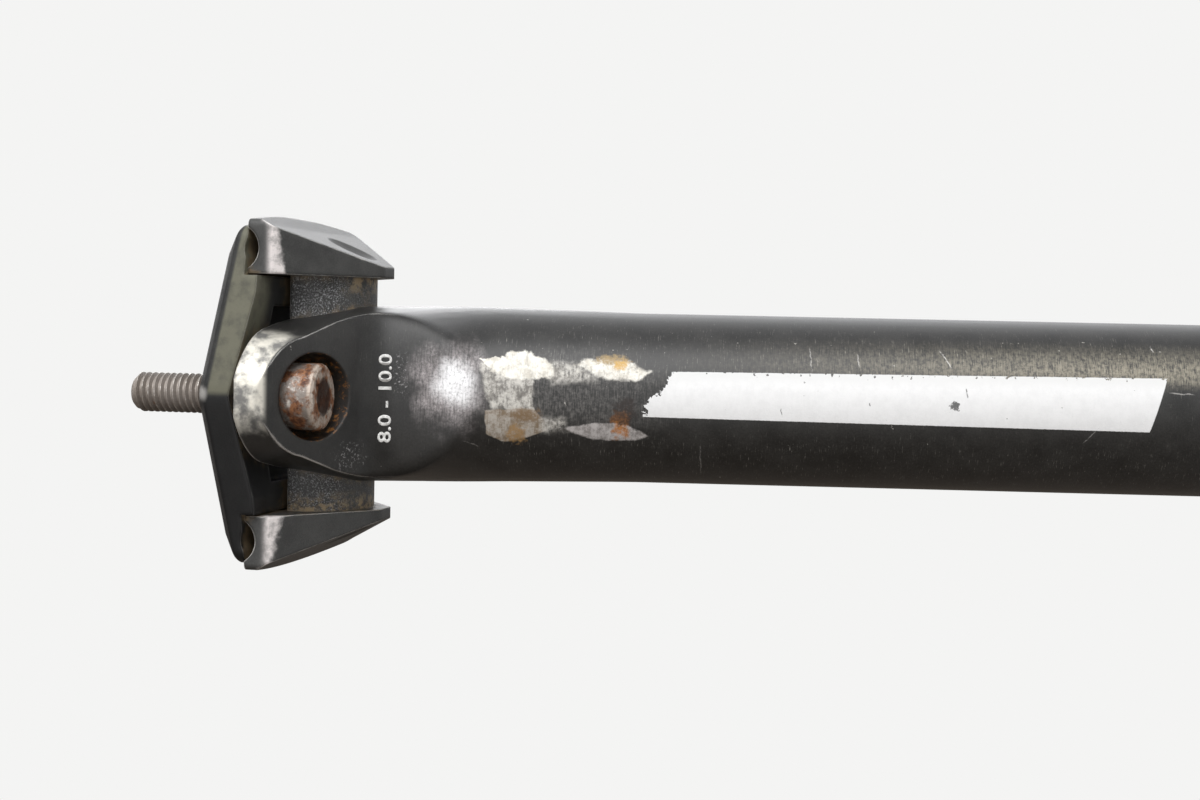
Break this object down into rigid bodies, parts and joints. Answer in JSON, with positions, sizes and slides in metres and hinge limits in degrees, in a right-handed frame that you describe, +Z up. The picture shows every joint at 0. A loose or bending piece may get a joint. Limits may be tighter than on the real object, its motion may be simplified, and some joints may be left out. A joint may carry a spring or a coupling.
{
  "type": "bicycle seatpost",
  "caption": "Black aluminium bicycle seatpost with a tilting two-bolt saddle clamp, worn through in places, its clamp closed and empty.",
  "frame": {"origin": "centre of the tube's lower end", "axes": "+Z up the post, +Y forwards on the bicycle, +X to the rider's right"},
  "size_m": [0.055, 0.0567, 0.3702],
  "materials": {
    "post_black": "satin black anodised, scuffed, with a bare white stripe",
    "clamp_black": "satin black anodised, worn bright at its edges",
    "bolt_steel": "zinc-plated steel, rusted at the head",
    "washer_steel": "plain steel, dirty"
  },
  "bodies": {
    "post": {"post": "post_black"},
    "cradle": {"lower_cradle": "clamp_black"},
    "plate": {"top_clamp": "clamp_black"},
    "rear_washer": {"rear_washer": "washer_steel"},
    "rear_bolt": {"rear_bolt": "bolt_steel"},
    "front_washer": {"front_washer": "washer_steel"},
    "front_bolt": {"front_bolt": "bolt_steel"}
  },
  "joints": [
    {"name": "saddle_tilt", "type": "hinge", "parent": "post", "child": "cradle", "pos_m": [0, -0.005, 0.346], "axis": [1, 0, 0], "range_deg": [-4, 4]},
    {"name": "clamp_open", "type": "slide", "parent": "cradle", "child": "plate", "axis": [0, 0.1685, 0.9857], "range_m": [0, 0.009]},
    {"name": "rear_bolt_draw", "type": "slide", "parent": "cradle", "child": "rear_washer", "axis": [0, 0.1685, 0.9857], "range_m": [-0.0013, 0.0013]},
    {"name": "rear_bolt_turn", "type": "hinge", "parent": "rear_washer", "child": "rear_bolt", "pos_m": [0, -0.02324, 0.34912], "axis": [0, 0.1685, 0.9857], "continuous": true},
    {"name": "front_bolt_draw", "type": "slide", "parent": "cradle", "child": "front_washer", "axis": [0, 0.1685, 0.9857], "range_m": [-0.0013, 0.0013]},
    {"name": "front_bolt_turn", "type": "hinge", "parent": "front_washer", "child": "front_bolt", "pos_m": [0, 0.01324, 0.34288], "axis": [0, 0.1685, 0.9857], "continuous": true}
  ],
  "couplings": [
    {"joint": "rear_bolt_draw", "follows": "saddle_tilt", "m_per_rad": 0.0185},
    {"joint": "front_bolt_draw", "follows": "saddle_tilt", "m_per_rad": -0.0185}
  ]
}
